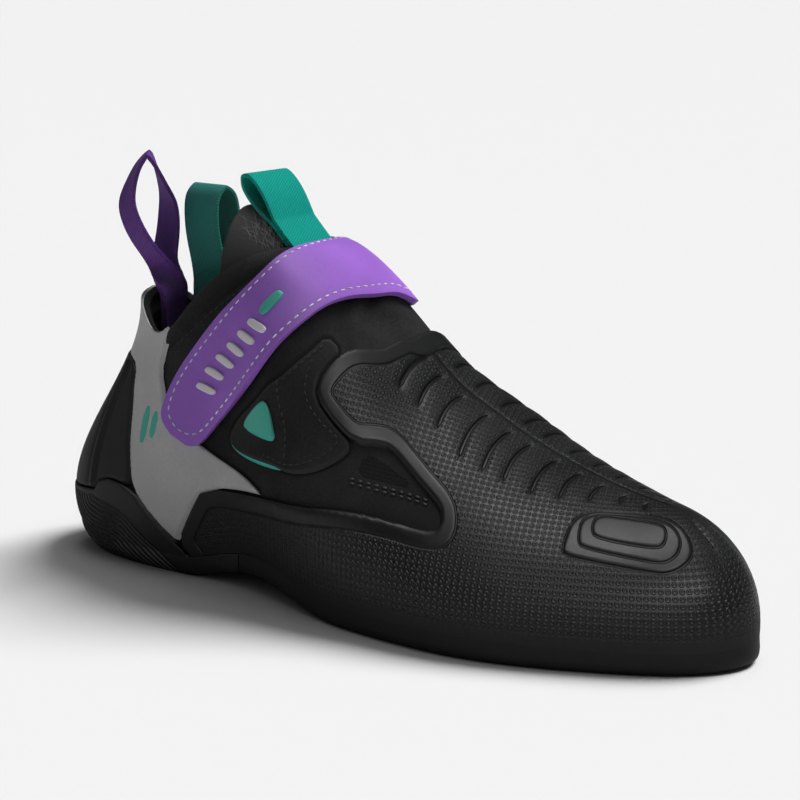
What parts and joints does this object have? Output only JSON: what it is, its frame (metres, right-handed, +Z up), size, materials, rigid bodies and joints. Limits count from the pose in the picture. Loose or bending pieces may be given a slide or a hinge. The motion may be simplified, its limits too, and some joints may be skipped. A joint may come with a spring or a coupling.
{
  "type": "climbing shoe",
  "caption": "Right climbing shoe with a lasted upper, moulded rubber toe cap, side rand and heel, one wide hook-and-loop strap over the instep and webbing pull loops.",
  "frame": {"origin": "middle of the bounding box at the floor the shoe stands on", "axes": "+X toward the toe, +Y toward the inner side of the foot, +Z up from the floor"},
  "size_m": [0.2468, 0.0828, 0.1287],
  "materials": {
    "upper": "matt black synthetic suede",
    "tongue": "smooth black knit",
    "insole": "matt dark grey",
    "outsole": "black climbing rubber",
    "heel_rubber": "black moulded rubber with fine ribs",
    "toe_cap": "black moulded rubber, dotted, with a smooth border",
    "tension_band": "matt mid grey rubber",
    "heel_counter": "matt black",
    "side_flap": "matt black synthetic suede",
    "flap_badge": "teal, bare",
    "strap": "purple synthetic leather",
    "heel_loop": "dark purple webbing",
    "tongue_loop": "teal webbing",
    "side_loop": "teal webbing, duller"
  },
  "bodies": {
    "root": {"upper": "upper", "insole": "insole", "outsole": "outsole", "heel_rubber": "heel_rubber", "toe_cap": "toe_cap", "tension_band": "tension_band", "heel_counter": "heel_counter", "side_flap": "side_flap", "flap_badge": "flap_badge", "strap": "strap", "tongue": "tongue", "heel_loop": "heel_loop", "tongue_loop": "tongue_loop", "side_loop": "side_loop"}
  },
  "joints": []
}
